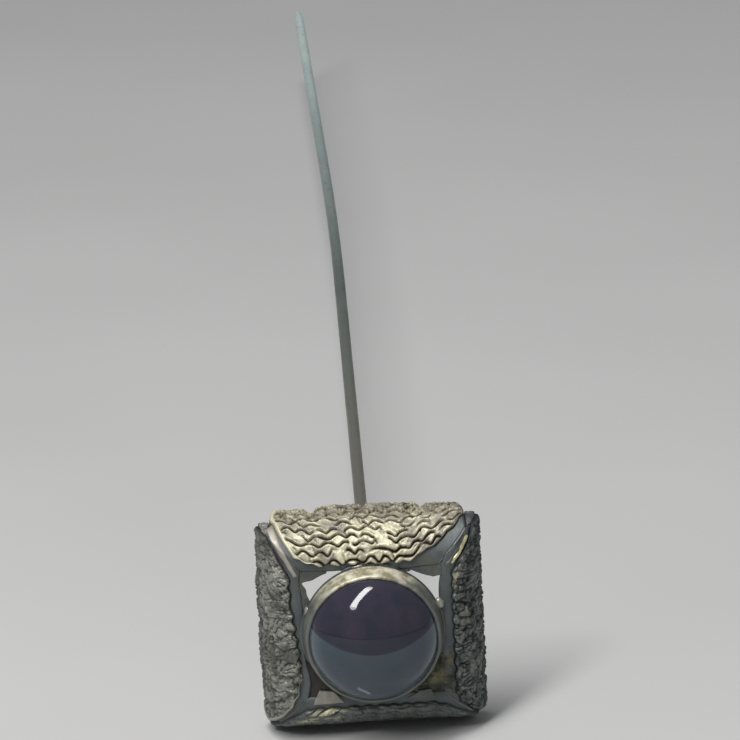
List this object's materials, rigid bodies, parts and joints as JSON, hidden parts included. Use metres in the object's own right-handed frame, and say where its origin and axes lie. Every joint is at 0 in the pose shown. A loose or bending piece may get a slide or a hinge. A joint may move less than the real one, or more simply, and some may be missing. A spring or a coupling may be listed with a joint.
{
  "type": "hat pin",
  "caption": "Hat pin: a square cushion-shaped metal head with textured sides and a dark domed stone in a bezel, on a long pointed steel shank.",
  "frame": {"origin": "on the shank's axis, in the plane of the head's back rim", "axes": "+Y along the shank from the head towards the point, so the head faces -Y; +Z towards the top side of the head; +X to the right seen from in front"},
  "size_m": [0.021, 0.2394, 0.021],
  "materials": {
    "rail": "smooth, aged and tarnished",
    "panel": "textured with worn bright ridges and dark grooves",
    "solder": "smooth solder, slightly brighter than the sheet",
    "bezel": "smooth, rubbed bright on the upper edge",
    "foil": "foil",
    "stone": "polished, dark violet",
    "shank": "drawn wire, slightly tarnished"
  },
  "bodies": {
    "root": {"bezel_base": "bezel", "bezel_collar": "bezel", "bottom_bezel_joint": "solder", "bottom_left_seam": "solder", "bottom_panel": "panel", "bottom_rail": "rail", "bottom_right_seam": "solder", "cabochon": "stone", "foil_disc": "foil", "left_bezel_joint": "solder", "left_panel": "panel", "left_rail": "rail", "right_bezel_joint": "solder", "right_panel": "panel", "right_rail": "rail", "seat_ring": "bezel", "shank": "shank", "shank_socket": "rail", "socket_solder": "solder", "top_bezel_joint": "solder", "top_left_seam": "solder", "top_panel": "panel", "top_rail": "rail", "top_right_seam": "solder"}
  },
  "joints": []
}
